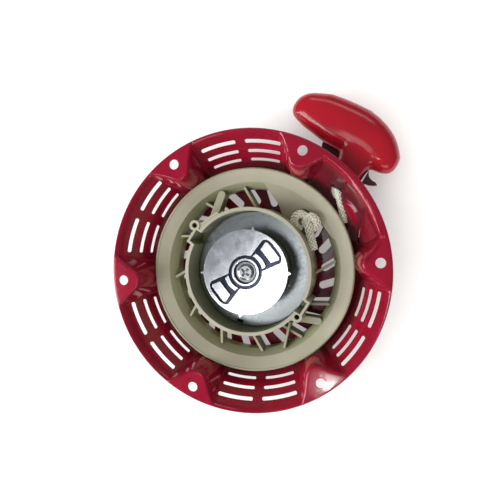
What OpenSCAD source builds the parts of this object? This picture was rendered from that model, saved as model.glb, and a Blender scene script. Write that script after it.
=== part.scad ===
// Recoil starter for a small engine.
// Origin: centre of the six-bolt circle on the mounting flange. +Z points at the engine.
// One bolt hole lies on +X. The pull rope leaves in the sector between +X and +60 degrees.

/* [Case] */
// outside radius of the rim
rim_r = 100; // [90:0.5:110]
// radius of the bolt circle
bolt_r = 92; // [85:0.5:98]
// radius of a bolt hole
bolt_hole_r = 3.5; // [2.5:0.1:5]
// number of mounting lugs
lug_count = 6; // [3:1:8]
// sheet thickness
sheet = 1.5; // [1:0.1:3]
// depth of the inside of the closed face below the flange
floor_z = -43.6; // [-60:0.1:-30]
// number of cooling slots in the closed face
face_slots = 24; // [12:1:36]

/* [Reel] */
// outer radius of the front ring
ring_r = 74.2; // [60:0.1:80]
// radius the first layer of rope lies on
drum_r = 64.2; // [50:0.1:70]
// outer radius of the hub cup
cup_r = 45.5; // [35:0.1:50]
// wall of the hub cup
cup_wall = 2.5; // [1.5:0.1:4]
// number of slanted spokes
spoke_count = 12; // [8:1:18]

/* [Ratchet] */
// radius of the ratchet guide
guide_r = 29.8; // [25:0.1:35]
// radius of a pawl pin
pin_r = 2.5; // [1.5:0.1:4]
// radius the pawls pivot on
pawl_r = 19; // [15:0.5:22]

/* [Rope] */
// radius of the rope
rope_r = 2.5; // [1.5:0.1:3.5]
// direction of the pull, in degrees from +X
pull_a = 55.3; // [40:0.1:70]
// depth of the pull line below the flange
pull_z = -24; // [-30:0.5:-18]

/* [Hidden] */
$fn = 96;
post_r = 7;
post_top = -7.8;
fit = 0.05;
wall_slope = 0.68;
cup_in = cup_r - cup_wall;
cup_top = -3.4;
cup_floor = -29.5;
reel_back = -41;
core_r = 27;
core_top = -10;
knot_1 = [38.6, 36.1, -21.5];
knot_2 = [46.4, 34.0, -21];
tail_end = [49.2, 11.6, -22.6];
lead_low = [66.8, 27.6, -24.8];
lead_high = [66.4, 51.8, -24];
lead_out = [72.3, 61.4, -24];
neck = [77.0, 68.15, pull_z];
pocket_a0 = 12.5;
pocket_a1 = 50.5;
pocket_r = 95.4;
pocket_slope = 2.35;

// ---------- helpers ----------

// a round-ended bar in the plane between two points
module bar2d(p, q, w) {
    d = q - p;
    translate(p)
        rotate(atan2(d[1], d[0]))
            union() {
                translate([0, -w / 2]) square([norm(d), w]);
                circle(d = w, $fn = 32);
                translate([norm(d), 0]) circle(d = w, $fn = 32);
            }
}

// a round-ended slot along a circle
module arc2d(r, w, a0, a1) {
    far = r + w;
    mid = (a0 + a1) / 2;
    intersection() {
        difference() {
            circle(r = r + w / 2);
            circle(r = r - w / 2);
        }
        polygon([[0, 0], polar(far * 1.3, a0), polar(far * 1.3, mid), polar(far * 1.3, a1)]);
    }
    translate(polar(r, a0)) circle(d = w + 0.08, $fn = 24);
    translate(polar(r, a1)) circle(d = w + 0.08, $fn = 24);
}

function polar(r, a) = [r * cos(a), r * sin(a)];

// radius of the inside of the wall at a height
function wall_at(z) = 92.05 + wall_slope * (z + 8.7);

// puts the child on the pull line: its +Z becomes the pull direction, its +X the reel axis
module on_pull(s) {
    translate(neck)
        rotate([0, 0, pull_a])
            translate([s, 0, 0])
                rotate([0, 90, 0])
                    rotate([0, 0, 180])
                        children();
}

// a rod between two points
module rod(p, q, r) {
    d = q - p;
    translate(p)
        rotate([0, acos(d[2] / norm(d)), atan2(d[1], d[0])])
            cylinder(h = norm(d), r = r, $fn = 32);
}

// ---------- case body ----------

module wall_profile() {
    polygon([
        [0, floor_z - sheet],
        [66.8, floor_z - sheet],
        [71, floor_z + 1.2],
        [97.4, -3.2],
        [98.6, -1.6],
        [98.6, -4.6],
        [rim_r, -4.6],
        [rim_r, 0],
        [97.8, 0],
        [96.2, -2.2],
        [69.4, floor_z + 2.1],
        [66.2, floor_z],
        [0, floor_z]
    ]);
}

// everything inside the outer surface of the wall
module wall_inside() {
    rotate_extrude()
        polygon([[0, floor_z - 0.6], [66.7, floor_z - 0.6], [70.2, floor_z + 1.7], [96.9, -2.7], [98.3, 0], [0, 0]]);
}

// outline of one lug, inset by g
module lug2d(g) {
    x = 0.75 * g;
    y = 0.65 * g;
    polygon([
        [96.8 + x, -18 + y],
        [92.5 + x, -13 + y],
        [89 + x, -7.6 + y],
        [84.8 + x, -3.3 + y],
        [84.8 + x, 3.3 - y],
        [89 + x, 7.6 - y],
        [92.5 + x, 13 - y],
        [96.8 + x, 18 - y]
    ]);
    translate([85.7, 0]) circle(r = 3.7 - g, $fn = 32);
}

module lug_hollow() {
    translate([0, 0, floor_z])
        linear_extrude(-floor_z - sheet)
            intersection() {
                lug2d(sheet);
                circle(r = 96.6);
            }
}

module lug() {
    intersection() {
        difference() {
            translate([0, 0, floor_z]) linear_extrude(-floor_z) lug2d(0);
            lug_hollow();
        }
        wall_inside();
    }
}

module wall_slots() {
    rows = [[-8.7, 2.3, 8.1], [-17.2, 2.0, 8.0], [-25, 1.8, 7.8]];
    for (sector = [1:lug_count - 1])
        for (side = [-1, 1])
            for (row = rows) {
                mid = sector * 60 + 29.2 + side * 10.2;
                translate([0, 0, row[0] - 6])
                    linear_extrude(12)
                        arc2d(wall_at(row[0]), row[1], mid - row[2] + 0.7, mid + row[2] - 0.7);
            }
}

module face_slot_cuts() {
    for (i = [0:face_slots - 1]) {
        a = i * 360 / face_slots - 3.7;
        translate([0, 0, floor_z - 3])
            linear_extrude(6)
                bar2d(polar(50.8, a), polar(63, a + 6.6), 5.6);
    }
}

// pocket of the rope outlet: a steeper wall between two lugs
module pocket_wedge(a0, a1) {
    translate([0, 0, floor_z - 5])
        linear_extrude(-floor_z + 10)
            polygon([[0, 0], polar(140, a0), polar(150, (a0 + a1) / 2), polar(140, a1)]);
}

module pocket_wall() {
    foot = pocket_r + floor_z / pocket_slope;
    rotate_extrude()
        polygon([
            [62, floor_z - sheet],
            [foot + 0.9, floor_z - sheet],
            [pocket_r + 1.5, 0],
            [pocket_r, 0],
            [foot, floor_z],
            [62, floor_z]
        ]);
}

module pocket_solid() {
    foot = pocket_r + floor_z / pocket_slope;
    rotate_extrude()
        polygon([[0, floor_z - 1], [foot + 0.4, floor_z - 1], [pocket_r + 0.6, -0.5], [0, -0.5]]);
}

module cone_space() {
    rotate_extrude()
        polygon([[0, floor_z], [66.2, floor_z], [69.4, floor_z + 2.1], [96.2, -2.2], [96.2, 1], [0, 1]]);
}

// the two end walls of the pocket
module pocket_ends() {
    difference() {
        intersection() {
            pocket_solid();
            union() {
                pocket_wedge(pocket_a0 - 0.9, pocket_a0 + 0.2);
                pocket_wedge(pocket_a1 - 0.2, pocket_a1 + 0.9);
            }
        }
        cone_space();
    }
}

module case() {
    color([0.62, 0.08, 0.16])
    difference() {
        union() {
            difference() {
                rotate_extrude() wall_profile();
                for (i = [0:lug_count - 1])
                    rotate(i * 60) lug_hollow();
                intersection() {
                    pocket_wedge(pocket_a0, pocket_a1);
                    translate([0, 0, floor_z - 4]) cylinder(h = 60, r = 97);
                    translate([0, 0, floor_z - 4])
                        difference() {
                            cylinder(h = 60, r = 99);
                            translate([0, 0, -1]) cylinder(h = 62, r = 65);
                        }
                }
            }
            intersection() {
                pocket_wall();
                pocket_wedge(pocket_a0 - 0.5, pocket_a1 + 0.5);
            }
            pocket_ends();
            for (i = [0:lug_count - 1])
                rotate(i * 60) lug();
            translate([0, 0, floor_z - sheet - 1.2]) cylinder(h = 1.3, r = 22);
        }
        for (i = [0:lug_count - 1])
            rotate(i * 60)
                translate([bolt_r, 0, -sheet - 1])
                    cylinder(h = sheet + 2, r = bolt_hole_r, $fn = 48);
        wall_slots();
        face_slot_cuts();
        on_pull(-24) cylinder(h = 12, r = 5, $fn = 48);
        translate([0, 0, floor_z - 4]) cylinder(h = 6, r = 5, $fn = 48);
    }
}

module centre_post() {
    color([0.72, 0.73, 0.74])
    difference() {
        union() {
            translate([0, 0, floor_z]) cylinder(h = post_top - floor_z, r = post_r);
            translate([0, 0, floor_z]) cylinder(h = 1.8, r = 13);
            translate([0, 0, floor_z - sheet - 1.8]) cylinder(h = 4, r = 4.95, $fn = 48);
            translate([0, 0, floor_z - sheet - 2.8]) cylinder(h = 1.6, r = 7.5);
        }
        translate([0, 0, post_top - 16]) cylinder(h = 17, r = 3, $fn = 48);
    }
}

module claw2d() {
    polygon([
        [-17.4, -4], [-17.4, -10.6], [-9, -12.9], [-6.7, -14.4], [-6.3, -17], [-5.2, -19.8], [-3.4, -22.2],
        [-2.3, -20.4], [-2.2, -17.4], [-1.2, -14.8], [0.4, -13.2], [2.4, -12.2], [-8.6, -12], [-10.4, -4]
    ]);
}

module wing2d() {
    polygon([
        [-17.4, -4], [-17.4, 5], [-12, 14], [-4, 21.5], [0.6, 25.6], [3, 27.6], [5.4, 28.2], [7.6, 27.2],
        [9.4, 24], [9.8, 16], [9.6, 4], [-10.4, -4]
    ]);
}

// dark guide outside the wall: a ring round the bush, a claw on one side and a low wing on the other
module outlet_horn() {
    color([0.33, 0.08, 0.11])
    difference() {
        union() {
            on_pull(-17.6) cylinder(h = 8.2, r = 9.2);
            translate([neck[0], neck[1], -28.5])
                rotate(pull_a) linear_extrude(8.4) claw2d();
            translate([neck[0], neck[1], -42])
                rotate(pull_a) linear_extrude(6.6) wing2d();
            translate([neck[0], neck[1], -42])
                rotate(pull_a) linear_extrude(18.5) polygon([[-17.4, -4], [-17.4, 4], [-9.7, 8.4], [-9.7, -4]]);
        }
        on_pull(-26) cylinder(h = 24, r = 4.85, $fn = 48);
    }
}

module rope_bush() {
    color([0.75, 0.75, 0.76])
    on_pull(-19.4)
        difference() {
            union() {
                cylinder(h = 11.2, r = 4.9, $fn = 48);
                cylinder(h = 1.4, r = 6.2, $fn = 48);
                translate([0, 0, 9.8]) cylinder(h = 1.4, r = 6.0, $fn = 48);
            }
            translate([0, 0, -1]) cylinder(h = 16, r = 3.1, $fn = 48);
        }
}

module centre_screw() {
    color([0.78, 0.78, 0.8])
    difference() {
        union() {
            translate([0, 0, post_top - 12]) cylinder(h = 11.8 - post_top, r = 2.9, $fn = 48);
            translate([0, 0, -0.25]) cylinder(h = 1.55, r = 5.6, $fn = 48);
            translate([0, 0, 1.3]) cylinder(h = 0.6, r1 = 5.6, r2 = 4.3, $fn = 48);
        }
        for (a = [45, 135])
            rotate(a)
                translate([-3.3, -0.8, 0.4]) cube([6.6, 1.6, 4]);
    }
}

module screw_washer() {
    color([0.8, 0.8, 0.82])
    translate([0, 0, -1.15])
        difference() {
            cylinder(h = 0.9, r = 7.1, $fn = 48);
            translate([0, 0, -1]) cylinder(h = 3, r = 2.95, $fn = 48);
        }
}

module rope_lead() {
    color([0.86, 0.85, 0.8]) {
        rod(lead_low, lead_high, rope_r);
        translate(lead_high) rotate([90, 0, 0]) sphere(r = rope_r + 0.12, $fn = 32);
        rod(lead_high, lead_out, rope_r - 0.05);
    }
}

// ---------- reel body ----------

module reel_ring_profile() {
    polygon([
        [ring_r, -19.1],
        [73.4, -18.5],
        [72.7, -18.5],
        [72.5, -18.9],
        [64, -22],
        [59.3, -29.4],
        [59.3, -40.4],
        [69.2, -40.4],
        [70.9, -38.2],
        [drum_r, -38.2],
        [drum_r, -24.6],
        [ring_r, -20.9]
    ]);
}

// outline of the cup wall with its two pawl pockets
module cup2d(r, grow) {
    circle(r = r);
    for (a = [143, -36.5])
        polygon([
            polar(r - 6, a - 9 - grow / 2),
            polar(48.2 + grow, a - 7 - grow),
            polar(48.2 + grow, a + 6 + grow),
            polar(r - 6, a + 9 + grow / 2)
        ]);
}

module spokes() {
    for (i = [0:spoke_count - 1]) {
        a = i * 360 / spoke_count + 1.5;
        if (i != 2)
            translate([0, 0, -38.5])
                linear_extrude(13.5)
                    bar2d(polar(44.6, a - 9.5), polar(60.2, a), 1.8);
    }
}

module reel_web() {
    translate([0, 0, -24.5])
        linear_extrude(2.5)
            polygon([
                polar(64.4, 15), polar(62.5, 17.5), polar(61.3, 22), polar(60.5, 30), polar(60.3, 38),
                polar(58.2, 45), polar(51, 48.2), polar(44.6, 49), polar(44.6, 55), polar(51.5, 63.5),
                polar(58.5, 73), polar(64.2, 78), polar(64.6, 70), polar(64.6, 62), polar(64.6, 54),
                polar(64.6, 46), polar(64.6, 38), polar(64.6, 30), polar(64.5, 22)
            ]);
    // floor of the knot pocket
    translate([0, 0, -29.5])
        linear_extrude(2)
            polygon([polar(61, 35), polar(61.5, 41), polar(61, 48), polar(44.6, 48), polar(44.6, 35)]);
    // wall between the web and the pocket
    translate([0, 0, -29])
        linear_extrude(6.6)
            bar2d(polar(44.8, 48.6), polar(61, 48.6), 2);
    // duct rib that carries the rope end past the first boss
    translate([0, 0, -36])
        linear_extrude(12.5)
            bar2d(polar(47.5, 126), polar(60, 108.5), 5.5);
    translate([0, 0, -36])
        linear_extrude(13.5)
            bar2d(polar(47, -59), polar(61, -72), 1.6);
    translate([0, 0, -36])
        linear_extrude(12.5)
            bar2d(polar(47, -52), polar(60.5, -42), 5);
}

module bosses() {
    for (b = [[50.2, 135], [47, -46]])
        translate([polar(b[0], b[1])[0], polar(b[0], b[1])[1], -24])
            cylinder(h = 24 + cup_top, r = 3.8, $fn = 48);
}

// solid webs that join the bosses to the cup
module boss_webs() {
    translate([0, 0, -24])
        linear_extrude(24 + cup_top - 0.6) {
            bar2d(polar(50.2, 135), polar(45.2, 130), 4.6);
            bar2d(polar(47, -46), polar(44.4, -50), 4.6);
            arc2d(45.9, 3.4, 114, 130);
        }
}

module boss_holes() {
    for (b = [[50.2, 135], [47, -46]])
        translate([polar(b[0], b[1])[0], polar(b[0], b[1])[1], -16])
            cylinder(h = 20, r = 1.8, $fn = 32);
}

module reel() {
    color([0.78, 0.78, 0.66])
    difference() {
        union() {
            rotate_extrude() reel_ring_profile();
            translate([0, 0, reel_back])
                linear_extrude(cup_top - reel_back)
                    cup2d(cup_r, 0.9);
            spokes();
            reel_web();
            bosses();
            boss_webs();
        }
        // inside of the cup
        translate([0, 0, cup_floor])
            linear_extrude(cup_top - cup_floor + 1)
                difference() {
                    cup2d(cup_in, -1);
                    circle(r = core_r);
                }
        translate([0, 0, core_top]) cylinder(h = 20, r = core_r + 0.5);
        // pocket of the mainspring
        translate([0, 0, reel_back - 1]) cylinder(h = 9.6, r = 42.6);
        translate([0, 0, reel_back - 1]) cylinder(h = 50, r = post_r + fit);
        boss_holes();
        pawl_pin_holes();
        // slot that the outer end of the mainspring hooks into
        rotate(-110.5) translate([39.3, -2.7, cup_floor - 4.5]) cube([2.8, 5.4, 6]);
    }
}

module pawl_pin_holes() {
    for (a = [140, 320])
        rotate(a)
            translate([pawl_r, 0, core_top - 8]) cylinder(h = 9, r = pin_r - 0.1, $fn = 48);
}

module pawl_pins() {
    color([0.7, 0.7, 0.72])
    for (a = [140, 320])
        rotate(a)
            translate([pawl_r, 0, core_top - 7.5]) {
                cylinder(h = 14.6, r = pin_r - 0.1, $fn = 48);
                translate([0, 0, 7.6]) cylinder(h = 7.8, r = pin_r, $fn = 48);
            }
}

module cup_plate() {
    color([0.62, 0.65, 0.68])
    translate([0, 0, cup_floor + 0.1])
        difference() {
            cylinder(h = 1.2, r = cup_in - 0.3);
            translate([0, 0, -1]) cylinder(h = 4, r = core_r + 0.3);
            rotate(-110.5) translate([39.4, -2.6, -1]) cube([2.6, 5.2, 4]);
        }
}

module pawl_spring(a) {
    color([0.6, 0.6, 0.62])
    rotate(a)
        translate([pawl_r, 0, core_top])
            rotate_extrude()
                union() {
                    translate([3.5, 0.75]) circle(r = 0.5, $fn = 24);
                    translate([3.5, 1.6]) circle(r = 0.5, $fn = 24);
                }
}

module pawl_spring_1() {
    pawl_spring(140);
}

module pawl_spring_2() {
    pawl_spring(320);
}

function spiral(r, a) = [(r - 3.1 * a / 360) * cos(a), (r - 3.1 * a / 360) * sin(a)];

module main_spring() {
    color([0.36, 0.37, 0.4])
    translate([0, 0, -40.2])
        linear_extrude(7.2)
            polygon(concat(
                [for (a = [0:15:2700]) spiral(41.8, a)],
                [for (a = [2700:-15:0]) spiral(41.1, a)]
            ));
}

module spring_cover() {
    color([0.66, 0.67, 0.68])
    translate([0, 0, reel_back - 0.3])
        difference() {
            cylinder(h = 0.7, r = 42.3);
            translate([0, 0, -1]) cylinder(h = 3, r = 14.5);
            for (a = [0:60:300])
                rotate(a) translate([30, 0, -1]) cylinder(h = 3, r = 4, $fn = 32);
        }
}

module rope_winding() {
    color([0.86, 0.85, 0.8])
    rotate_extrude()
        union() {
            for (k = [0:2])
                translate([66.8, -27.3 - 4.1 * k]) circle(r = rope_r, $fn = 32);
        }
}

module reel_knot() {
    color([0.88, 0.87, 0.82]) {
        hull() {
            translate(knot_1) sphere(r = 5.2, $fn = 24);
            translate(knot_2) sphere(r = 5.0, $fn = 24);
        }
        rod(knot_2, tail_end, rope_r);
    }
}

// ---------- ratchet ----------

// one pawl, its pin on the origin, pointing along +X
module pawl_shape() {
    difference() {
        union() {
            linear_extrude(5.4)
                polygon([[0, -4.4], [9, -4.2], [17.6, -2.6], [18.8, -1.4], [18.4, 1.2], [15.4, 2.6], [7, 3.6], [0, 4.4]]);
            cylinder(h = 5.4, r = 4.4, $fn = 48);
            translate([9.5, -0.4, 0]) cylinder(h = 6.2, r = 1.5, $fn = 32);
        }
        translate([0, 0, -1]) cylinder(h = 9, r = pin_r + fit, $fn = 48);
    }
}

module pawl(a) {
    color([0.5, 0.5, 0.52])
    rotate(a)
        translate([pawl_r, 0, core_top + 2.4])
            rotate(84)
                pawl_shape();
}

module pawl_1() {
    pawl(140);
}

module pawl_2() {
    pawl(320);
}

// the two-armed figure pressed into the guide, grown by g
module bow2d(g) {
    circle(r = 12.4 + g, $fn = 64);
    for (s = [0, 180])
        rotate(33.5 + s)
            polygon([
                [0, -8 - g],
                [11, -7.4 - g],
                [24 + g, -10.6 - g],
                [26.2 + g, -9.4 - g],
                [27.4 + g, -7 - g / 2],
                [27.9 + g, -4],
                [27.9 + g, 4],
                [27.4 + g, 7 + g / 2],
                [26.2 + g, 9.4 + g],
                [24 + g, 10.6 + g],
                [11, 7.4 + g],
                [0, 8 + g]
            ]);
}

module guide_pads() {
    for (s = [0, 180])
        rotate(33.5 + s) {
            polygon([[18.4, -5.9], [24.0, -7.7], [25.2, -6.6], [25.2, 6.6], [24.0, 7.7], [18.4, 5.9]]);
            intersection() {
                difference() {
                    circle(r = 15, $fn = 64);
                    circle(r = 12.2, $fn = 64);
                }
                translate([10, -5.6]) square([6, 11.2]);
            }
        }
}

module ratchet_guide() {
    color([0.8, 0.82, 0.85])
    difference() {
        union() {
            translate([0, 0, 0.8])
                linear_extrude(1.2)
                    union() {
                        circle(r = guide_r);
                        for (a = [75.4, 176.7, 259, 354.7])
                            rotate(a)
                                polygon([[29, -1.9], [31.9, -0.6], [31.9, 0.2], [29, 1.6]]);
                    }
            translate([0, 0, -0.9])
                intersection() {
                    linear_extrude(1.8) bow2d(1);
                    cylinder(h = 4, r = 29, $fn = 96);
                }
            translate([0, 0, post_top + 0.15]) cylinder(h = 8, r = 9.6);
        }
        translate([0, 0, 0])
            linear_extrude(4)
                difference() {
                    bow2d(-0.6);
                    guide_pads();
                    circle(r = 9.6);
                }
        translate([0, 0, -1.2]) cylinder(h = 8, r = 8.2);
        translate([0, 0, post_top - 2]) cylinder(h = 10, r = 3.6, $fn = 48);
    }
}

module friction_spring() {
    color([0.6, 0.6, 0.62])
    rotate_extrude()
        union() {
            translate([10.6, -2.1]) circle(r = 0.7, $fn = 24);
            translate([10.6, -3.3]) circle(r = 0.7, $fn = 24);
        }
}

// ---------- handle ----------

// sections of the grip: [across the pull, middle along the pull, half width, half depth]
grip_sections = [
    [57.6, 18, 1.5, 1.5],
    [56.7, 18.6, 5.5, 5],
    [54.2, 19.4, 8.6, 7.6],
    [50.2, 20.3, 11, 9.4],
    [44.2, 20.8, 13.2, 10.2],
    [37.2, 21.7, 15.2, 10.8],
    [28.2, 21.7, 16.6, 11.2],
    [18.2, 21.9, 17.2, 11.4],
    [9.2, 22.2, 17.2, 11.4],
    [0.2, 21.8, 16.4, 11.4],
    [-7.8, 19.8, 15.9, 11.2],
    [-14.8, 18.2, 14, 10.6],
    [-20.3, 16.4, 11.5, 9.6],
    [-24.8, 15, 7.9, 7.4],
    [-26.8, 14.7, 4.6, 4.4],
    [-27.3, 14.6, 1.5, 1.5]
];
grip_sides = 20;

function grip_point(q, k) = [
    q[3] * sin(k * 360 / grip_sides),
    -q[0],
    q[1] + q[2] * cos(k * 360 / grip_sides)
];

module handle_bar() {
    n = grip_sides;
    m = len(grip_sections);
    polyhedron(
        points = [for (q = grip_sections) for (k = [0:n - 1]) grip_point(q, k)],
        faces = concat(
            [[for (k = [0:n - 1]) k]],
            [[for (k = [n - 1:-1:0]) (m - 1) * n + k]],
            [for (i = [0:m - 2]) for (k = [0:n - 1])
                [i * n + k, (i + 1) * n + k, i * n + (k + 1) % n]],
            [for (i = [0:m - 2]) for (k = [0:n - 1])
                [(i + 1) * n + k, (i + 1) * n + (k + 1) % n, i * n + (k + 1) % n]]
        )
    );
}

module handle_body() {
    on_pull(0) handle_bar();
    on_pull(-7.8) cylinder(h = 23, r1 = 10.7, r2 = 11.1);
}

module handle_grip() {
    color([0.74, 0.11, 0.16])
    difference() {
        union() {
            handle_body();
            on_pull(30) translate([0, -8, 0]) cylinder(h = 9, r = 2.2, $fn = 32);
        }
        on_pull(-9) cylinder(h = 30, r = 3, $fn = 48);
        on_pull(12.6) cylinder(h = 12, r = 6.2, $fn = 48);
        on_pull(12.6) translate([-20, -6.2, 0]) cube([20, 12.4, 12]);
    }
}

module handle_washer() {
    color([0.75, 0.75, 0.76])
    on_pull(12.8)
        difference() {
            cylinder(h = 1.4, r = 5.9, $fn = 48);
            translate([0, 0, -1]) cylinder(h = 4, r = 2.7, $fn = 48);
        }
}

module handle_rope() {
    color([0.86, 0.85, 0.8])
    on_pull(-7.6) cylinder(h = 22.4, r = rope_r, $fn = 32);
}

module handle_knot() {
    color([0.88, 0.87, 0.82])
    on_pull(19.2)
        union() {
            translate([0, 1.2, 0]) sphere(r = 4.3, $fn = 32);
            translate([0, -1.4, 0.3]) sphere(r = 4.2, $fn = 32);
        }
}

case();
centre_post();
outlet_horn();
rope_bush();
centre_screw();
screw_washer();
rope_lead();
reel();
cup_plate();
main_spring();
spring_cover();
rope_winding();
reel_knot();
pawl_pins();
pawl_spring_1();
pawl_spring_2();
pawl_1();
pawl_2();
ratchet_guide();
friction_spring();
handle_grip();
handle_washer();
handle_rope();
handle_knot();
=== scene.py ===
import math

import bmesh
import bpy
import numpy as np
from mathutils import Matrix, Vector


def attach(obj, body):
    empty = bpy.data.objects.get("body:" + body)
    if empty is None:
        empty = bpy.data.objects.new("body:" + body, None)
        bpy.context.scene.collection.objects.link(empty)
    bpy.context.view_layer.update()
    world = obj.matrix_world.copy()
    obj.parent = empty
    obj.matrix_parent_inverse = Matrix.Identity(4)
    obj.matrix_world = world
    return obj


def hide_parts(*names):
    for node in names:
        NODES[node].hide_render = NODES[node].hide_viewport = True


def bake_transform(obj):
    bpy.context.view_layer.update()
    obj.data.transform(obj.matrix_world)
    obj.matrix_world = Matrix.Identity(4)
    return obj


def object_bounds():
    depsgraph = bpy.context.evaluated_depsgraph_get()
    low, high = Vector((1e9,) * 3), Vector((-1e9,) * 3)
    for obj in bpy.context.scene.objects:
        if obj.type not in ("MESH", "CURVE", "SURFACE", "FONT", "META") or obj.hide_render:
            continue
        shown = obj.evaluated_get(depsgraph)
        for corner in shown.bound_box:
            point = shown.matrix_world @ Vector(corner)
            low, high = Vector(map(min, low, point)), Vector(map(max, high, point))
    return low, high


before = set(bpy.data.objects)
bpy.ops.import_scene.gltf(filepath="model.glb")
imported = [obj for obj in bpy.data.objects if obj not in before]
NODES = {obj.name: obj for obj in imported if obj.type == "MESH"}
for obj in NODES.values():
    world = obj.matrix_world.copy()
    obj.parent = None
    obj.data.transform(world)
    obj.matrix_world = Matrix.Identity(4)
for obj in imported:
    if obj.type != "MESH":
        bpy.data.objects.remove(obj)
CAD_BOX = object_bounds()
MM = 0.001

# The main numbers of part.scad, in millimetres.
BOLT_R = 92.0
BOLT_HOLE_R = 3.5
LUGS = 6
FLOOR_Z = -43.6
WALL_SLOPE = 0.68
WALL_R = 92.05
WALL_Z = -8.7
PULL_A = math.radians(55.3)
NECK = np.array([77.0, 68.15, -24.0])
ALONG = np.array([math.cos(PULL_A), math.sin(PULL_A), 0.0])
ACROSS = np.array([-math.sin(PULL_A), math.cos(PULL_A), 0.0])
UP = np.array([0.0, 0.0, 1.0])

# Where the camera stands (mm), how high the reflected cards hang and the floor's half width (m).
CAMERA_AT = Vector((95.56, 26.38, 406.21)) * MM
CARD_UP = 0.8
FLOOR_HALF = 3.0


# ---------- camera, lights, floor ----------

def make_camera():
    right = Vector((0.97306, -0.08073, -0.21590))
    up = Vector((0.07271, 0.99639, -0.04500))
    back = right.cross(up).normalized()
    up = back.cross(right).normalized()
    m = Matrix((right, up, back)).transposed().to_4x4()
    m.translation = CAMERA_AT
    data = bpy.data.cameras.new("camera")
    data.sensor_width = 36.0
    data.lens = 43.2
    data.clip_start = 0.01
    data.shift_x = -0.0008
    data.shift_y = 0.0012
    cam = bpy.data.objects.new("camera", data)
    cam.matrix_world = m
    bpy.context.scene.collection.objects.link(cam)
    bpy.context.scene.camera = cam


def area_light(name, at, look, size, power):
    data = bpy.data.lights.new(name, "AREA")
    data.shape = "RECTANGLE"
    data.size, data.size_y = size
    data.energy = power
    o = bpy.data.objects.new(name, data)
    d = (Vector(look) - Vector(at)).normalized()
    o.matrix_world = Matrix.Translation(Vector(at)) @ d.to_track_quat("-Z", "Y").to_matrix().to_4x4()
    bpy.context.scene.collection.objects.link(o)
    return o


def overhead_card(name, spot, size, turn, radiance):
    """A small card overhead, placed so that it is reflected at the spot (mm) of the flange plane."""
    p = Vector((spot[0], spot[1], 0)) * MM
    at = p + (p - CAMERA_AT) * (CARD_UP / CAMERA_AT.z)
    at.z = CARD_UP
    o = area_light(name, at, at - Vector((0, 0, 1)), size, radiance * math.pi * size[0] * size[1])
    o.matrix_world = Matrix.Translation(at) @ Matrix.Rotation(turn, 4, "Z")


def make_lights():
    # the guide mirrors one card: the card's edge runs across its middle
    turn = math.radians(40)
    off = 17.5
    spot = (off * math.sin(turn), -off * math.cos(turn))
    overhead_card("guide_card", spot, (0.34, 0.104), turn, 3.0)
    overhead_card("plate_card", (39, -8), (0.05, 0.16), 0, 0.9)
    overhead_card("lug_card", (52.1, -81.8), (0.024, 0.010), math.radians(-40), 260)
    area_light("left_window", (-0.80, -0.18, 0.55), (0, 0, -0.02), (0.5, 0.9), 10.2)
    area_light("low_window", (0.10, -0.75, 0.50), (0, 0, -0.02), (0.5, 0.16), 1.4)
    area_light("top_strip", (0.25, 0.85, 0.55), (0, 0, 0), (0.7, 0.2), 1.0)
    world = bpy.data.worlds.new("studio")
    world.use_nodes = True
    bg = world.node_tree.nodes["Background"]
    bg.inputs["Color"].default_value = (0.94, 0.97, 1.0, 1)
    bg.inputs["Strength"].default_value = 0.20
    bpy.context.scene.world = world
    bpy.context.scene.view_settings.view_transform = "Standard"


def make_floor():
    low = CAD_BOX[0][2]
    s = FLOOR_HALF
    mesh = bpy.data.meshes.new("floor")
    mesh.from_pydata([(-s, -s, low), (s, -s, low), (s, s, low), (-s, s, low)], [], [(0, 1, 2, 3)])
    o = bpy.data.objects.new("floor", mesh)
    bpy.context.scene.collection.objects.link(o)
    m, b = new_material("floor")
    n = Nodes(m)
    b.inputs["Base Color"].default_value = (0.42, 0.42, 0.41, 1)
    b.inputs["Roughness"].default_value = 0.8
    b.inputs["Emission Color"].default_value = (1.0, 0.99, 0.97, 1)
    # painted shade: the floor's glow is dimmed by ambient occlusion under and around the object
    n.link(n.range(n.occlusion(0.07), 0.34, 0.95, 0.35, 0.88), b.inputs["Emission Strength"])
    mesh.materials.append(m)


# ---------- materials ----------

def new_material(name):
    m = bpy.data.materials.new(name)
    m.use_nodes = True
    return m, m.node_tree.nodes["Principled BSDF"]


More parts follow.
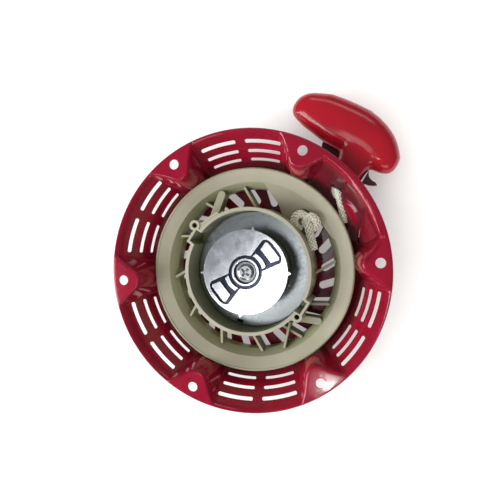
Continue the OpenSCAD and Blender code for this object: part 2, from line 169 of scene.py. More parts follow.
class Nodes:
    """Short calls that add nodes to one material."""

    def __init__(self, material):
        self.t = material.node_tree
        self.coords = self.t.nodes.new("ShaderNodeTexCoord").outputs["Object"]

    def link(self, a, b):
        self.t.links.new(a, b)

    def noise(self, scale, detail=3.0, rough=0.5, stretch=None):
        n = self.t.nodes.new("ShaderNodeTexNoise")
        n.inputs["Scale"].default_value = scale
        n.inputs["Detail"].default_value = detail
        n.inputs["Roughness"].default_value = rough
        src = self.coords
        if stretch:
            mp = self.t.nodes.new("ShaderNodeMapping")
            mp.inputs["Scale"].default_value = stretch
            self.link(src, mp.inputs["Vector"])
            src = mp.outputs["Vector"]
        self.link(src, n.inputs["Vector"])
        return n.outputs["Fac"]

    def ramp(self, fac, stops):
        r = self.t.nodes.new("ShaderNodeValToRGB")
        el = r.color_ramp.elements
        while len(el) < len(stops):
            el.new(0.5)
        for e, (pos, col) in zip(el, stops):
            e.position = pos
            e.color = (*col, 1)
        self.link(fac, r.inputs["Fac"])
        return r.outputs["Color"]

    def range(self, fac, low, high, a=0.3, b=0.7):
        r = self.t.nodes.new("ShaderNodeMapRange")
        r.inputs["From Min"].default_value = a
        r.inputs["From Max"].default_value = b
        r.inputs["To Min"].default_value = low
        r.inputs["To Max"].default_value = high
        self.link(fac, r.inputs["Value"])
        return r.outputs["Result"]

    def mix(self, fac, a, b, blend="MIX"):
        n = self.t.nodes.new("ShaderNodeMix")
        n.data_type = "RGBA"
        n.blend_type = blend
        for sock, v in ((n.inputs[0], fac), (n.inputs[6], a), (n.inputs[7], b)):
            if isinstance(v, bpy.types.NodeSocket):
                self.link(v, sock)
            elif isinstance(v, (int, float)):
                sock.default_value = v
            else:
                sock.default_value = (*v, 1)
        return n.outputs[2]

    def bump(self, height, strength, distance, normal=None):
        n = self.t.nodes.new("ShaderNodeBump")
        n.inputs["Strength"].default_value = strength
        n.inputs["Distance"].default_value = distance
        self.link(height, n.inputs["Height"])
        if normal is not None:
            self.link(normal, n.inputs["Normal"])
        return n.outputs["Normal"]

    def edge_normal(self, radius):
        n = self.t.nodes.new("ShaderNodeBevel")
        n.samples = 4
        n.inputs["Radius"].default_value = radius
        return n.outputs["Normal"]

    def occlusion(self, distance):
        n = self.t.nodes.new("ShaderNodeAmbientOcclusion")
        n.samples = 6
        n.inputs["Distance"].default_value = distance
        return n.outputs["AO"]

    def height(self):
        n = self.t.nodes.new("ShaderNodeSeparateXYZ")
        self.link(self.coords, n.inputs["Vector"])
        return n.outputs["Z"]

    def attribute(self, name):
        n = self.t.nodes.new("ShaderNodeAttribute")
        n.attribute_name = name
        return n.outputs["Fac"]


def paint(name, base, dark, rough=0.09):
    """Gloss paint over pressed steel: a slow colour change, fine ripple, painted shade in recesses and
    painted shade over the outlet's sector where "shade" is one.
    """
    m, b = new_material(name)
    n = Nodes(m)
    tone = n.ramp(n.noise(38, 4), [(0.3, dark), (0.62, base)])
    # colours of painted shade: in recesses, and over the outlet's sector
    deep = tuple(c * 0.75 for c in dark)
    sector_shade = tuple(c * 0.46 + 0.011 for c in dark)
    # painted shade: darker in recesses by ambient occlusion, and over the outlet's sector where the
    # "shade" attribute is one
    coat = n.mix(n.range(n.occlusion(0.014), 1.0, 0.0, 0.3, 0.9), tone, deep)
    n.link(n.mix(n.attribute("shade"), coat, sector_shade), b.inputs["Base Color"])
    n.link(n.range(n.noise(160, 5), rough * 0.8, rough * 1.5), b.inputs["Roughness"])
    b.inputs["Specular IOR Level"].default_value = 0.35
    b.inputs["Coat Weight"].default_value = 0.15
    b.inputs["Coat Roughness"].default_value = 0.06
    soft = n.edge_normal(0.0006)
    n.link(n.bump(n.noise(420, 2), 0.06, 0.0004, soft), b.inputs["Normal"])
    return m


def nylon(name):
    """Natural nylon: waxy, slightly translucent, with painted shade that turns it greener and darker where
    surfaces are close together.
    """
    m, b = new_material(name)
    n = Nodes(m)
    tone = n.ramp(n.noise(26, 4), [(0.3, (0.51, 0.49, 0.36)), (0.68, (0.59, 0.565, 0.44))])
    # painted shade: the greener dark colour comes in where ambient occlusion finds nearby surfaces
    shade = n.range(n.occlusion(0.02), 1.0, 0.0, 0.2, 0.95)
    n.link(n.mix(shade, tone, (0.26, 0.285, 0.13)), b.inputs["Base Color"])
    b.inputs["Subsurface Weight"].default_value = 0.12
    b.inputs["Subsurface Radius"].default_value = (0.004, 0.004, 0.002)
    n.link(n.range(n.noise(120, 5), 0.30, 0.46), b.inputs["Roughness"])
    soft = n.edge_normal(0.0005)
    n.link(n.bump(n.noise(500, 3), 0.08, 0.0003, soft), b.inputs["Normal"])
    b.inputs["Specular IOR Level"].default_value = 0.22
    return m


def steel(name, base, rough=0.3, grain=(1, 1, 1), contrast=0.8, edge=0.0003, scale=260):
    """Plated or ground steel with grain, spangle, rubbed edges and painted shade in recesses."""
    m, b = new_material(name)
    n = Nodes(m)
    dull = tuple(c * contrast for c in base)
    tone = n.ramp(n.noise(scale, 6, 0.65, grain), [(0.35, dull), (0.65, base)])
    # painted shade: darker in recesses by ambient occlusion
    deep = tuple(c * 0.12 for c in base)
    n.link(n.mix(n.range(n.occlusion(0.0025), 1.0, 0.0, 0.3, 0.85), tone, deep), b.inputs["Base Color"])
    b.inputs["Metallic"].default_value = 1.0
    n.link(n.range(n.noise(420, 5, 0.6, grain), rough * 0.85, rough * 1.2), b.inputs["Roughness"])
    soft = n.edge_normal(edge)
    n.link(n.bump(n.noise(scale * 3, 3, 0.5, grain), 0.02, 0.0002, soft), b.inputs["Normal"])
    return m


def guide_steel(name):
    """Bright zinc plate with painted shade inside the grooves of its pressed figure."""
    m, b = new_material(name)
    n = Nodes(m)
    base = n.ramp(n.noise(110, 4, 0.6), [(0.3, (0.70, 0.72, 0.78)), (0.7, (0.84, 0.86, 0.90))])
    # painted shade: near-black inside the grooves, chosen by height
    groove_shade = n.ramp(n.noise(90, 3), [(0.3, (0.022, 0.026, 0.045)), (0.7, (0.06, 0.062, 0.085))])
    deep = n.range(n.height(), 1.0, 0.0, 0.0011, 0.0019)
    n.link(n.mix(deep, base, groove_shade), b.inputs["Base Color"])
    b.inputs["Metallic"].default_value = 1.0
    n.link(n.range(n.noise(260, 5, 0.6), 0.12, 0.20), b.inputs["Roughness"])
    soft = n.edge_normal(0.0004)
    n.link(n.bump(n.noise(1300, 4, 0.7), 0.03, 0.0001, soft), b.inputs["Normal"])
    return m


def cord(name):
    """Braided cord: pale crowns of the strands with a painted highlight, brown-grey gaps of painted shade,
    fine fibre and a faint painted glow.
    """
    m, b = new_material(name)
    n = Nodes(m)
    # painted highlight and shade: the cord's own pale colour brightened on the strands' crowns, brown-grey
    # in the gaps between them
    stops = [(0.05, (0.38, 0.35, 0.22)), (0.24, (0.84, 0.81, 0.65)), (0.5, (1.0, 1.0, 0.91))]
    crown_light_shade = n.ramp(n.attribute("crown"), stops)
    fibre = n.ramp(n.noise(800, 4), [(0.36, (0.64, 0.61, 0.49)), (0.50, (1.0, 1.0, 1.0))])
    colour = n.mix(1.0, crown_light_shade, fibre, "MULTIPLY")
    n.link(colour, b.inputs["Base Color"])
    # painted light: the cord glows faintly in its own colour, standing in for light through the fibres
    n.link(colour, b.inputs["Emission Color"])
    b.inputs["Roughness"].default_value = 0.34
    b.inputs["Emission Strength"].default_value = 0.12
    b.inputs["Sheen Weight"].default_value = 0.2
    n.link(n.bump(n.noise(2200, 3), 0.35, 0.0002), b.inputs["Normal"])
    return m


def grip_plastic(name):
    """Glossy red moulding with a slight flow mottle and handling scuffs."""
    m, b = new_material(name)
    n = Nodes(m)
    tone = n.ramp(n.noise(22, 4), [(0.3, (0.50, 0.010, 0.026)), (0.65, (0.62, 0.013, 0.030))])
    n.link(tone, b.inputs["Base Color"])
    n.link(n.range(n.noise(60, 5), 0.12, 0.22), b.inputs["Roughness"])
    b.inputs["Specular IOR Level"].default_value = 0.4
    b.inputs["Coat Weight"].default_value = 0.12
    b.inputs["Coat Roughness"].default_value = 0.08
    b.inputs["Subsurface Weight"].default_value = 0.05
    b.inputs["Subsurface Radius"].default_value = (0.004, 0.001, 0.001)
    n.link(n.bump(n.noise(180, 3), 0.05, 0.0006), b.inputs["Normal"])
    return m


# ---------- mesh helpers ----------

def mesh_object(name, verts, faces, material, uvs=None):
    mesh = bpy.data.meshes.new(name)
    mesh.from_pydata([tuple(v) for v in np.asarray(verts) * MM], [], faces)
    mesh.update()
    if uvs is not None:
        layer = mesh.uv_layers.new(name="UVMap")
        for loop in mesh.loops:
            layer.data[loop.index].uv = uvs[loop.vertex_index]
    mesh.polygons.foreach_set("use_smooth", [True] * len(mesh.polygons))
    mesh.materials.append(material)
    o = bpy.data.objects.new(name, mesh)
    bpy.context.scene.collection.objects.link(o)
    return o


def apply_modifiers(o):
    """Turns an object with modifiers into plain mesh."""
    dg = bpy.context.evaluated_depsgraph_get()
    mesh = bpy.data.meshes.new_from_object(o.evaluated_get(dg))
    o.modifiers.clear()
    o.data = mesh


def cut_away(o, cutter):
    """Cuts one mesh out of another, then deletes the cutter."""
    b = o.modifiers.new("cut", "BOOLEAN")
    b.operation = "DIFFERENCE"
    b.solver = "EXACT"
    b.object = cutter
    bpy.context.view_layer.update()
    apply_modifiers(o)
    bpy.data.objects.remove(cutter)


def pull_line_rod(at, radius, length, vertices):
    """A rod along the pull line, used to cut the rope's holes."""
    bpy.ops.mesh.primitive_cylinder_add(vertices=vertices, radius=radius * MM, depth=length * MM)
    rod = bpy.context.object
    turn = Vector(ALONG).to_track_quat("Z", "Y").to_matrix().to_4x4()
    rod.matrix_world = Matrix.Translation(Vector(at) * MM) @ turn
    bpy.context.view_layer.update()
    return rod


def smooth_faces(o, angle):
    """Smooth shading with creases where faces meet at more than the angle."""
    o.data.polygons.foreach_set("use_smooth", [True] * len(o.data.polygons))
    bm = bmesh.new()
    bm.from_mesh(o.data)
    limit = math.radians(angle)
    for e in bm.edges:
        e.smooth = not (len(e.link_faces) == 2 and e.calc_face_angle(0) > limit)
    bm.to_mesh(o.data)
    bm.free()


def smax(a, b, k):
    """The larger of two heights, with a fillet of width k."""
    h = np.clip(k - np.abs(a - b), 0, None) / k
    return np.maximum(a, b) + h * h * k / 4


def smin(a, b, k):
    return -smax(-a, -b, k)


def polygon_distance(x, y, pts):
    """Signed distance to a closed polygon, negative inside."""
    d = np.full(x.shape, 1e9)
    inside = np.zeros(x.shape, bool)
    n = len(pts)
    for i in range(n):
        ax, ay = pts[i]
        bx, by = pts[(i + 1) % n]
        ex, ey = bx - ax, by - ay
        wx, wy = x - ax, y - ay
        t = np.clip((wx * ex + wy * ey) / (ex * ex + ey * ey), 0, 1)
        d = np.minimum(d, np.hypot(wx - ex * t, wy - ey * t))
        crosses = ((ay > y) != (by > y)) & (x < ex * (y - ay) / (ey if ey else 1e-9) + ax)
        inside ^= crosses
    return np.where(inside, -d, d)


def prism(bm, outline, z0, z1):
    """Adds a closed prism over a plan outline to a bmesh."""
    low = [bm.verts.new((x * MM, y * MM, z0 * MM)) for x, y in outline]
    high = [bm.verts.new((x * MM, y * MM, z1 * MM)) for x, y in outline]
    n = len(outline)
    bm.faces.new(low[::-1])
    bm.faces.new(high)
    for i in range(n):
        j = (i + 1) % n
        bm.faces.new((low[i], low[j], high[j], high[i]))


def polar(r, a):
    return (r * math.cos(math.radians(a)), r * math.sin(math.radians(a)))


def slot_outline(r, w, a0, a1, steps=12, ends=7):
    """A round-ended slot along a circle."""
    pts = [polar(r + w / 2, a0 + (a1 - a0) * k / steps) for k in range(steps + 1)]
    for k in range(1, ends):
        b = math.radians(a1 + 180 * k / ends)
        c = polar(r, a1)
        pts.append((c[0] + w / 2 * math.cos(b), c[1] + w / 2 * math.sin(b)))
    pts += [polar(r - w / 2, a1 - (a1 - a0) * k / steps) for k in range(steps + 1)]
    for k in range(1, ends):
        b = math.radians(a0 + 180 + 180 * k / ends)
        c = polar(r, a0)
        pts.append((c[0] + w / 2 * math.cos(b), c[1] + w / 2 * math.sin(b)))
    return pts


def bar_outline(p, q, w, ends=8):
    a = math.atan2(q[1] - p[1], q[0] - p[0])
    pts = []
    for c, start in ((q, -math.pi / 2), (p, math.pi / 2)):
        for k in range(ends + 1):
            b = a + start + math.pi * k / ends
            pts.append((c[0] + w / 2 * math.cos(b), c[1] + w / 2 * math.sin(b)))
    return pts


def circle_outline(c, r, n=40):
    turns = [2 * math.pi * k / n for k in range(n)]
    return [(c[0] + r * math.cos(t), c[1] + r * math.sin(t)) for t in turns]


# ---------- the pressed case ----------

# outline of the lug on +X, and of the panel, the bead and the boss in the outlet's sector
LUG = [(104, -29), (97.5, -21.5), (93.8, -16.6), (90.4, -13.2), (86.8, -10.0), (83.4, -7.4),
       (80.9, -5.0), (79.7, -2.6), (79.3, 0), (79.7, 2.6), (80.9, 5.0), (83.4, 7.4), (86.8, 10.0),
       (90.4, 13.2), (93.8, 16.6), (97.5, 21.5), (104, 29)]
DIAMOND = [(84.6, 37.6), (92.0, 18.4), (81.3, 5.4), (77.2, 14.3), (79.8, 26)]
BEAD = [(73.5, 57), (79, 50), (83.6, 42.5), (89, 30), (93.2, 17.8), (88, 9), (81, 2.2)]
OVAL_AT = (71.8, 35.2)
OVAL_ALONG = (0.49, -0.87)
OVAL_HALF = (9.6, 5.8)
ROPE_HOLE = (66.5, 53.8)

# radius and height of the lip that turns down outside the flange
LIP = [(99.3, -0.15), (99.75, -0.6), (99.98, -1.3), (100.0, -2.6), (100.0, -4.5)]

# wall slots: height, width and half the angle of each row
SLOT_ROWS = ((-8.7, 2.3, 8.1), (-17.2, 2.0, 8.0), (-25.0, 1.8, 7.8))
SLOT_MIDDLE = 29.2
SLOT_APART = 10.2
FACE_SLOTS = 24


def case_height(r, theta):
    """Height of the inside of the pressed case over the plane."""
    x = r * np.cos(theta)
    y = r * np.sin(theta)
    cone = WALL_Z + (r - WALL_R) / WALL_SLOPE
    # the sector of the rope outlet is drawn steeper, under a wider flange
    deg = np.degrees(theta) % 360
    inside = np.clip(np.minimum(deg - 8, 57 - deg) / 5, 0, 1)
    inside = inside * inside * (3 - 2 * inside)
    steep = smax(-2.3 * (95.0 - r), -15.5 + (r - 88.0) / 0.85, 4.0)
    z = smin(cone * (1 - inside) + steep * inside, 0.0 * r, 3.0)
    z = smax(z, FLOOR_Z + 0.0 * r, 5.0)
    for i in range(LUGS):
        a = -i * 2 * math.pi / LUGS
        lx = x * math.cos(a) - y * math.sin(a)
        ly = x * math.sin(a) + y * math.cos(a)
        near = (lx > 70) & (np.abs(ly) < 32)
        d = np.full(r.shape, 99.0)
        d[near] = polygon_distance(lx[near], ly[near], LUG)
        pad = smin(-3.6 * d - 0.12 * np.maximum(d, 0) ** 2, 0.0 * r, 6.0)
        # the fillet between pad and wall runs out at the flat flange
        z = smax(z, pad, 4.6 * np.clip(-np.maximum(z, pad) / 5, 0.02, 1))
    return z + outlet_details(x, y)


def soft_step(d, width):
    """One inside (d < 0), zero outside."""
    return 1 / (1 + np.exp(np.clip(d / width, -40, 40)))


def oval_distance(x, y):
    """Below one inside the oval boss beside the diamond panel."""
    dx = x - OVAL_AT[0]
    dy = y - OVAL_AT[1]
    u = (dx * OVAL_ALONG[0] + dy * OVAL_ALONG[1]) / OVAL_HALF[0]
    v = (dx * -OVAL_ALONG[1] + dy * OVAL_ALONG[0]) / OVAL_HALF[1]
    return np.hypot(u, v)


def outlet_shade(x, y, z):
    """Painted shade over the outlet's sector, lighter and redder on its raised and sunk panels."""
    turn = np.degrees(np.arctan2(y, x))
    sector = soft_step(7.0 - turn, 0.8) * soft_step(turn - 51.0, 1.2) * soft_step(z + 5.5, 0.9)
    panel = 0.72 * soft_step(polygon_distance(x, y, DIAMOND) + 0.9, 0.25)
    boss = 0.9 * soft_step(oval_distance(x, y) - 0.95, 0.06)
    return sector * (1 - np.maximum(panel, boss))


def outlet_details(x, y):
    """Dimple round the rope's hole, stiffening bead, diamond panel and oval boss."""
    hole = np.hypot(x - ROPE_HOLE[0], y - ROPE_HOLE[1])
    out = -1.4 * np.exp(-((hole / 7.0) ** 4))
    bead = polyline_distance(x, y, BEAD)
    out += 1.5 * np.exp(-((bead / 1.3) ** 2))
    diamond = polygon_distance(x, y, DIAMOND)
    out -= 2.6 * soft_step(diamond, 0.55)
    out += 2.8 * soft_step(oval_distance(x, y) - 1, 0.12)
    return out


def polyline_distance(x, y, pts):
    """Distance to an open line."""
    d = np.full(x.shape, 1e9)
    for (ax, ay), (bx, by) in zip(pts, pts[1:]):
        ex, ey = bx - ax, by - ay
        wx, wy = x - ax, y - ay
        t = np.clip((wx * ex + wy * ey) / (ex * ex + ey * ey), 0, 1)
        d = np.minimum(d, np.hypot(wx - ex * t, wy - ey * t))
    return d


def case_cutters():
    """Wall slots, face slots, bolt holes, the post's hole and the rope's hole."""
    bm = bmesh.new()
    for sector in range(1, LUGS):
        for side in (-1, 1):
            for z, w, half in SLOT_ROWS:
                mid = sector * 60 + SLOT_MIDDLE + side * SLOT_APART
                r = WALL_R + WALL_SLOPE * (z - WALL_Z)
                prism(bm, slot_outline(r, w, mid - half + 0.7, mid + half - 0.7), z - 7, z + 7)
    for i in range(FACE_SLOTS):
        a = i * 360 / FACE_SLOTS - 3.7
        prism(bm, bar_outline(polar(50.8, a), polar(63, a + 6.6), 5.6), FLOOR_Z - 4, FLOOR_Z + 4)
    for i in range(LUGS):
        prism(bm, circle_outline(polar(BOLT_R, i * 60), BOLT_HOLE_R), -4, 3)
    prism(bm, circle_outline((0, 0), 5.0), FLOOR_Z - 6, FLOOR_Z + 4)
    o = mesh_object("case_cutters", [(0, 0, 0)], [], bpy.data.materials.new("none"))
    bm.normal_update()
    bmesh.ops.recalc_face_normals(bm, faces=bm.faces)
    bm.to_mesh(o.data)
    # the rope's hole lies along the pull line
    rod = pull_line_rod(NECK - ALONG * 19, 4.75, 16, 40)
    moved = rod.data.copy()
    moved.transform(rod.matrix_world)
    both = bmesh.new()
    both.from_mesh(o.data)
    both.from_mesh(moved)
    both.to_mesh(o.data)
    both.free()
    bpy.data.objects.remove(rod)
    return o


def make_case():
    turns = 720
    radii = np.concatenate([[3.5, 14, 26, 38], np.linspace(46, 66, 8), np.linspace(67.2, 98.6, 74)])
    theta = np.linspace(0, 2 * math.pi, turns, endpoint=False)
    rr, tt = np.meshgrid(radii, theta, indexing="ij")
    zz = case_height(rr, tt)
    rings = [np.stack([r * np.cos(theta), r * np.sin(theta), z], 1) for r, z in zip(rr, zz)]
    for r, z in LIP:
        rings.append(np.stack([r * np.cos(theta), r * np.sin(theta), np.full(turns, z)], 1))
    verts = np.concatenate(rings)
    faces = []
    for i in range(len(rings) - 1):
        for k in range(turns):
            n = (k + 1) % turns
            faces.append((i * turns + k, (i + 1) * turns + k, (i + 1) * turns + n, i * turns + n))
    faces.append(tuple(range(turns))[::-1])
    o = mesh_object("case_shell", verts, faces, MATS["case"])
    s = o.modifiers.new("thick", "SOLIDIFY")
    s.thickness = 1.3 * MM
    s.offset = -1.0
    s.use_even_offset = True
    cut_away(o, case_cutters())
    where = np.empty(len(o.data.vertices) * 3)
    o.data.vertices.foreach_get("co", where)
    x, y, z = where.reshape(-1, 3).T / MM
    # the "shade" attribute tells the paint where to lay painted shade over the outlet's sector
    o.data.attributes.new("shade", "FLOAT", "POINT").data.foreach_set("value", outlet_shade(x, y, z))
    smooth_faces(o, 42)
    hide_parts("case")
    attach(o, "case_body")


# ---------- rope ----------

# length of one turn of a strand round the rope
BRAID_LAY = 8.0
# the rope from the drum to the outlet
LEAD = [(68.4, 28.6, -25.0), (68.3, 32.6, -24.6), (67.6, 38.6, -24.3), (66.9, 44.4, -24.1),
        (66.2, 49.2, -24), (66.0, 52.0, -24), (67.6, 54.6, -24), (70.2, 58.3, -24)]
# the knot in the reel's pocket: two humps side by side and the cut tail
KNOT = [(36.2, 26.4, -27.8), (34.0, 29.0, -24.6), (33.4, 32.4, -20.8), (35.4, 36.0, -18.4),
        (39.0, 37.5, -17.4), (42.0, 35.6, -18.2), (42.3, 32.6, -20.8), (41.4, 30.6, -23.2),
        (42.6, 29.4, -23.6), (43.4, 31.6, -21.2), (44.0, 34.2, -18.4), (46.6, 35.0, -17.4),
        (49.2, 32.8, -18.0), (49.8, 29.6, -19.8), (48.0, 27.0, -21.8), (45.2, 26.9, -21.4),
        (43.7, 29.2, -18.9), (44.0, 25.6, -17.9), (44.8, 20.6, -18.9), (45.6, 15.8, -20.2),
        (46.2, 11.4, -21.4)]
# the knot in the grip: along the pull line, across it and up from its middle
GRIP_KNOT = [(-3.4, 0, 0), (-1.2, 0.4, -1.0), (0.8, 2.4, -1.2), (1.8, 1.2, 1.6), (0.6, -2.2, 1.6),
             (-0.6, -2.6, -0.8), (0.8, -0.4, -2.0), (2.4, 1.8, -0.8), (1.4, 2.4, 1.4),
             (0.2, 0.2, 2.2), (2.6, -2.0, 0.8)]
DRUM_TURNS = 2.94

def smooth_path(points, step):
    """Catmull-Rom through the points, sampled at an even step."""
    p = np.array(points, float)
    p = np.vstack([2 * p[0] - p[1], p, 2 * p[-1] - p[-2]])
    out = []
    for i in range(1, len(p) - 2):
        t = np.linspace(0, 1, 24, endpoint=False)[:, None]
        a, b, c, d = p[i - 1], p[i], p[i + 1], p[i + 2]
        square = (2 * a - 5 * b + 4 * c - d) * t**2
        cube = (3 * b - a - 3 * c + d) * t**3
        out.append(0.5 * (2 * b + (c - a) * t + square + cube))
    out.append(p[-2][None, :])
    q = np.vstack(out)
    s = np.concatenate([[0], np.cumsum(np.linalg.norm(np.diff(q, axis=0), axis=1))])
    n = max(2, int(round(s[-1] / step)) + 1)
    u = np.linspace(0, s[-1], n)
    return np.stack([np.interp(u, s, q[:, k]) for k in range(3)], 1)


def braid_tube(name, path, r, material, sides=28, relief=0.16, strands=6):
    """A tube whose surface rises and falls like a braid of strands going over and under."""
    n = len(path)
    tangent = np.gradient(path, axis=0)
    tangent /= np.linalg.norm(tangent, axis=1)[:, None]
    ref = np.array([0.0, 0.0, 1.0])
    if abs(tangent[0] @ ref) > 0.9:
        ref = np.array([1.0, 0.0, 0.0])
    normal = np.cross(tangent[0], ref)
    s = np.concatenate([[0], np.cumsum(np.linalg.norm(np.diff(path, axis=0), axis=1))])
    verts, uvs, faces = [], [], []
    phi = np.linspace(0, 2 * math.pi, sides, endpoint=False)
    crowns = []
    for i in range(n):
        normal = normal - tangent[i] * (normal @ tangent[i])
        normal /= np.linalg.norm(normal)
        side = np.cross(tangent[i], normal)
        w = math.pi * s[i] / BRAID_LAY * strands
        left = strands * phi + w
        right = strands * phi - w
        over = (np.floor(left / (2 * math.pi)) + np.floor(right / (2 * math.pi))) % 2 == 0
        ridge_l = 0.5 - 0.5 * np.cos(left)
        ridge_r = 0.5 - 0.5 * np.cos(right)
        crown = np.where(over, ridge_l * (0.6 + 0.4 * ridge_r), ridge_r * (0.6 + 0.4 * ridge_l))
        crowns.append(crown)
        h = r * (1 - relief) + r * relief * crown
        if i in (0, n - 1):
            h = h * 0.86
        ring = path[i] + np.outer(np.cos(phi) * h, normal) + np.outer(np.sin(phi) * h, side)
        verts.append(ring)
        uvs += [(p / (2 * math.pi) * 4, s[i] / 4.0) for p in phi]
    for i in range(n - 1):
        for k in range(sides):
            m = (k + 1) % sides
            faces.append((i * sides + k, i * sides + m, (i + 1) * sides + m, (i + 1) * sides + k))
    faces.append(tuple(range(sides))[::-1])
    faces.append(tuple((n - 1) * sides + k for k in range(sides)))
    o = mesh_object(name, np.concatenate(verts), faces, material, uvs)
    o.data.attributes.new("crown", "FLOAT", "POINT").data.foreach_set("value", np.concatenate(crowns))
    return o


def make_rope():
    mat = MATS["cord"]
    lead = LEAD + [tuple(NECK - ALONG * 7.9)]
    o = braid_tube("rope_lead_braid", smooth_path(lead, 0.3), 2.75, mat, sides=44, relief=0.22)
    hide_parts("rope_lead")
    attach(o, "case_body")
    # the turns on the drum: two side by side, the last one in the valley over them
    u = np.linspace(0, DRUM_TURNS, int(430 * DRUM_TURNS))
    a = math.radians(22.4) - 2 * math.pi * (DRUM_TURNS - u)
    over = np.clip((u - 1.85) / 0.2, 0, 1)
    over = over * over * (3 - 2 * over)
    radius = 66.75 + 4.05 * over
    z = (-35.5 + 4.35 * np.minimum(u, 1.95)) * (1 - over) - 29.6 * over
    path = np.stack([radius * np.cos(a), radius * np.sin(a), z], 1)
    o = braid_tube("rope_turns", path, 2.35, mat, sides=16, strands=3)
    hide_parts("rope_winding")
    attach(o, "reel_body")
    o = braid_tube("reel_knot_braid", smooth_path(KNOT, 0.3), 3.1, mat, sides=44, relief=0.22)
    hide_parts("reel_knot")
    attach(o, "reel_body")
    # inside the handle, and its knot
    path = smooth_path([NECK + ALONG * s for s in (-7.5, 0, 8, 16)], 0.6)
    o = braid_tube("handle_rope_braid", path, 2.4, mat, sides=24, strands=4)
    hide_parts("handle_rope")
    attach(o, "handle_body")
    k = NECK + ALONG * 19.4
    pts = [k + ALONG * u + ACROSS * v + UP * w for u, v, w in GRIP_KNOT]
    o = braid_tube("handle_knot_braid", smooth_path(pts, 0.4), 2.1, mat, sides=24, strands=4)
    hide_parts("handle_knot")
    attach(o, "handle_body")
    # the stretch that pays out between the outlet and the handle
    start = NECK - ALONG * 8.1
    end = NECK - ALONG * 3.0
    path = np.linspace(start, end, 400)
    o = braid_tube("rope_paid_out", path, 2.25, mat, sides=24, relief=0.05, strands=4)
    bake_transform(o)


# ---------- handle ----------

# rings of the grip: place across the pull line, place along it, half its width and half its height
GRIP = [(57.6, 18, 1.5, 1.5), (56.7, 18.6, 5.5, 5), (54.2, 19.4, 8.6, 7.6), (50.2, 20.3, 11.0, 9.4),
        (44.2, 20.8, 13.2, 10.2), (37.2, 21.7, 15.2, 10.8), (28.2, 21.7, 16.6, 11.2),
        (18.2, 21.9, 17.2, 11.4), (9.2, 22.2, 17.2, 11.4), (0.2, 21.8, 16.4, 11.4),
        (-7.8, 19.8, 15.9, 11.2), (-14.8, 18.2, 14.0, 10.6), (-20.3, 16.4, 11.5, 9.6),
        (-24.8, 15.0, 7.9, 7.4), (-26.8, 14.7, 4.6, 4.4), (-27.3, 14.6, 1.5, 1.5)]
# rings of the stem: place along the pull line, half its width and half its height
STEM = [(-7.8, 9.6, 9.4), (-7.6, 10.5, 10.3), (-6.8, 10.9, 10.7), (0, 11.2, 10.8), (5, 12.6, 10.9),
        (9, 15.6, 10.9), (13, 20.5, 10.5), (17, 25, 9.6), (21, 27, 8.4)]
# rings of the small nub on the grip's outside
NUB = [(30, 2.4), (38.6, 2.4), (39.4, 2.0), (39.9, 1.0)]


def loft(rings):
    """Skin over rings of equal length, closed at both ends."""
    n = len(rings[0])
    verts = np.concatenate(rings)
    faces = []
    for i in range(len(rings) - 1):
        for k in range(n):
            m = (k + 1) % n
            faces.append((i * n + k, i * n + m, (i + 1) * n + m, (i + 1) * n + k))
    faces.append(tuple(range(n))[::-1])
    faces.append(tuple((len(rings) - 1) * n + k for k in range(n)))
    return verts, faces


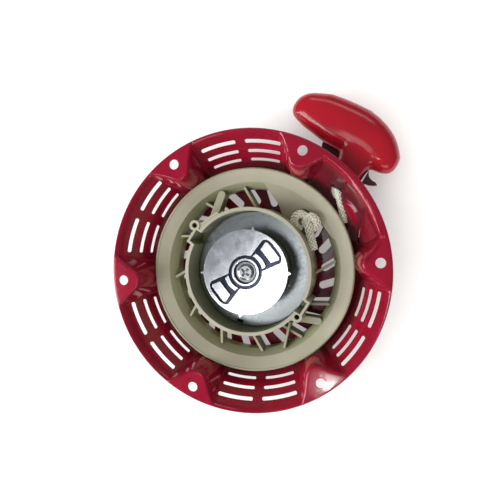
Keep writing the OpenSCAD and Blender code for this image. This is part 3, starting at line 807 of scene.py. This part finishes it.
def make_handle():
    sides = 40
    phi = np.linspace(0, 2 * math.pi, sides, endpoint=False)
    power = 2 / 2.35
    cs = np.sign(np.cos(phi)) * np.abs(np.cos(phi)) ** power
    sn = np.sign(np.sin(phi)) * np.abs(np.sin(phi)) ** power
    rings = []
    for t, s, hs, hz in GRIP:
        rings.append(NECK + ACROSS * t + np.outer(s + hs * cs, ALONG) + np.outer(hz * sn, UP))
    verts, faces = loft(rings)
    stem = []
    for s, w, h in STEM:
        stem.append(NECK + ALONG * s + np.outer(w * cs, ACROSS) + np.outer(h * sn, UP))
    v2, f2 = loft(stem)
    f2 = [tuple(i + len(verts) for i in f) for f in f2]
    nub = []
    for s, w in NUB:
        middle = NECK + ALONG * s + ACROSS * 8.0
        nub.append(middle + np.outer(w * np.cos(phi), ACROSS) + np.outer(w * np.sin(phi), UP))
    v3, f3 = loft(nub)
    f3 = [tuple(i + len(verts) + len(v2) for i in f) for f in f3]
    o = mesh_object("handle_tee", np.concatenate([verts, v2, v3]), faces + f2 + f3, MATS["grip"])
    bm = bmesh.new()
    bm.from_mesh(o.data)
    bmesh.ops.recalc_face_normals(bm, faces=bm.faces)
    bm.to_mesh(o.data)
    r = o.modifiers.new("one_skin", "REMESH")
    r.mode = "VOXEL"
    r.voxel_size = 0.9 * MM
    r.use_smooth_shade = True
    s = o.modifiers.new("soften", "SMOOTH")
    s.factor = 0.5
    s.iterations = 26
    apply_modifiers(o)
    # the window on the back that the knot is pushed in through, and the rope's bore
    bm = bmesh.new()
    pocket = []
    c = NECK + ALONG * 18.6
    for k in range(32):
        a = 2 * math.pi * k / 32
        x = math.copysign(abs(math.cos(a)) ** 0.5, math.cos(a)) * 6.0
        y = math.copysign(abs(math.sin(a)) ** 0.5, math.sin(a)) * 6.2
        p = c + ALONG * x + ACROSS * y
        pocket.append((p[0], p[1]))
    prism(bm, pocket, -60, -18.5)
    bmesh.ops.recalc_face_normals(bm, faces=bm.faces)
    cut = mesh_object("pocket", [(0, 0, 0)], [], MATS["grip"])
    bm.to_mesh(cut.data)
    cut_away(o, cut)
    cut_away(o, pull_line_rod(NECK + ALONG * 2, 3.0, 24, 32))
    smooth_faces(o, 45)
    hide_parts("handle_grip")
    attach(o, "handle_body")


# ---------- CAD nodes that stay ----------

def dress(node, material):
    o = NODES[node]
    o.data.materials.clear()
    o.data.materials.append(material)


MATS = {
    "case": paint("case_paint_red", (0.41, 0.008, 0.034), (0.31, 0.006, 0.028)),
    # the outlet horn: its own dark finish, drawn darker still as painted shade for the shade it sits in
    # under the grip
    "horn": paint("horn_paint_dark", (0.17, 0.045, 0.05), (0.11, 0.028, 0.032), 0.2),
    "nylon": nylon("reel_nylon_cream"),
    "plate": steel("plate_zinc", (0.35, 0.38, 0.39), 0.22, contrast=0.94, scale=40),
    "guide": guide_steel("guide_bright"),
    "screw": steel("screw_zinc", (0.46, 0.47, 0.50), 0.22),
    "post": steel("post_turned", (0.55, 0.55, 0.57), 0.32),
    "bush": steel("bush_steel", (0.30, 0.30, 0.31), 0.3),
    "spring": steel("spring_blue", (0.20, 0.22, 0.28), 0.3, (1, 1, 6)),
    "wire": steel("wire_steel", (0.45, 0.45, 0.47), 0.3),
    "pawl": steel("pawl_dark", (0.34, 0.34, 0.36), 0.38),
    "cord": cord("cord_braid"),
    "grip": grip_plastic("grip_red"),
}

make_camera()
make_lights()
make_floor()
make_case()
make_rope()
make_handle()
for node_name, mat_name in (
    ("centre_post", "post"), ("outlet_horn", "horn"), ("rope_bush", "bush"), ("centre_screw", "screw"),
    ("screw_washer", "screw"), ("reel", "nylon"), ("cup_plate", "plate"), ("main_spring", "spring"),
    ("spring_cover", "plate"), ("pawl_pins", "wire"), ("pawl_spring_1", "wire"), ("pawl_spring_2", "wire"),
    ("pawl_1", "pawl"), ("pawl_2", "pawl"), ("ratchet_guide", "guide"), ("friction_spring", "wire"),
    ("handle_washer", "wire"),
):
    dress(node_name, MATS[mat_name])
